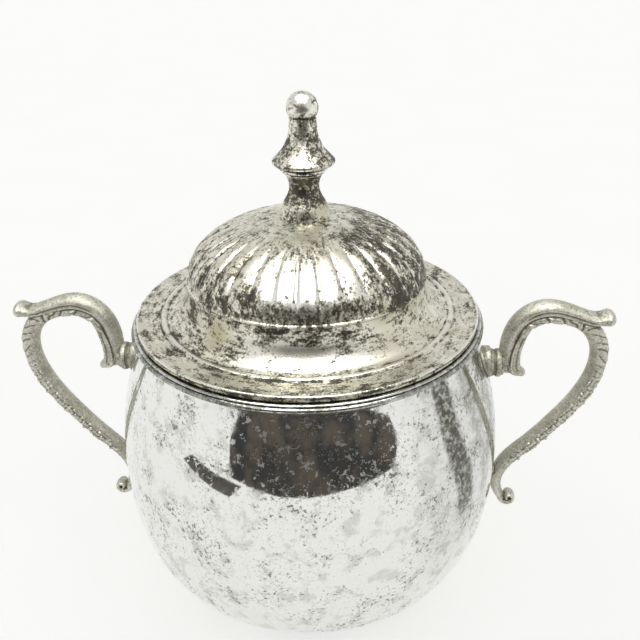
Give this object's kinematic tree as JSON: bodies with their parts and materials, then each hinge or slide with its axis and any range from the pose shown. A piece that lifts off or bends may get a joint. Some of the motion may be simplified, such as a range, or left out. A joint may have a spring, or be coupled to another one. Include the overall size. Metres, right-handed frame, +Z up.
{
  "type": "sugar bowl",
  "caption": "Round lidded sugar bowl in plated metal, with a lobed domed lid, a turned finial and scrolled leaf handles on both sides; holds sugar at the table.",
  "frame": {"origin": "centre of the circle on which the foot ring stands, at table height", "axes": "+Z up through the finial, +X through the right handle, -Y towards the viewer"},
  "size_m": [0.1678, 0.1086, 0.1452],
  "materials": {
    "polished_plate": "polished silver plate with fine pits and grey specks",
    "cast_plate": "satin cast silver plate, tarnished in the recesses",
    "tarnished_plate": "silver plate with heavy brown-grey mottled tarnish",
    "bare_brass": "plain turned brass"
  },
  "bodies": {
    "bowl": {"bowl_body": "polished_plate", "rim_moulding": "polished_plate", "foot_ring": "polished_plate", "handle_left": "cast_plate", "handle_right": "cast_plate", "handle_left_collar": "cast_plate", "handle_right_collar": "cast_plate"},
    "lid": {"lid_shell": "tarnished_plate", "lid_edge": "tarnished_plate", "lid_bezel": "tarnished_plate", "finial": "tarnished_plate", "finial_stud": "bare_brass", "finial_washer": "bare_brass", "finial_nut": "bare_brass"}
  },
  "joints": [
    {"name": "lid_lift", "type": "slide", "parent": "bowl", "child": "lid", "axis": [0, 0, 1], "range_m": [0, 0.06]}
  ]
}
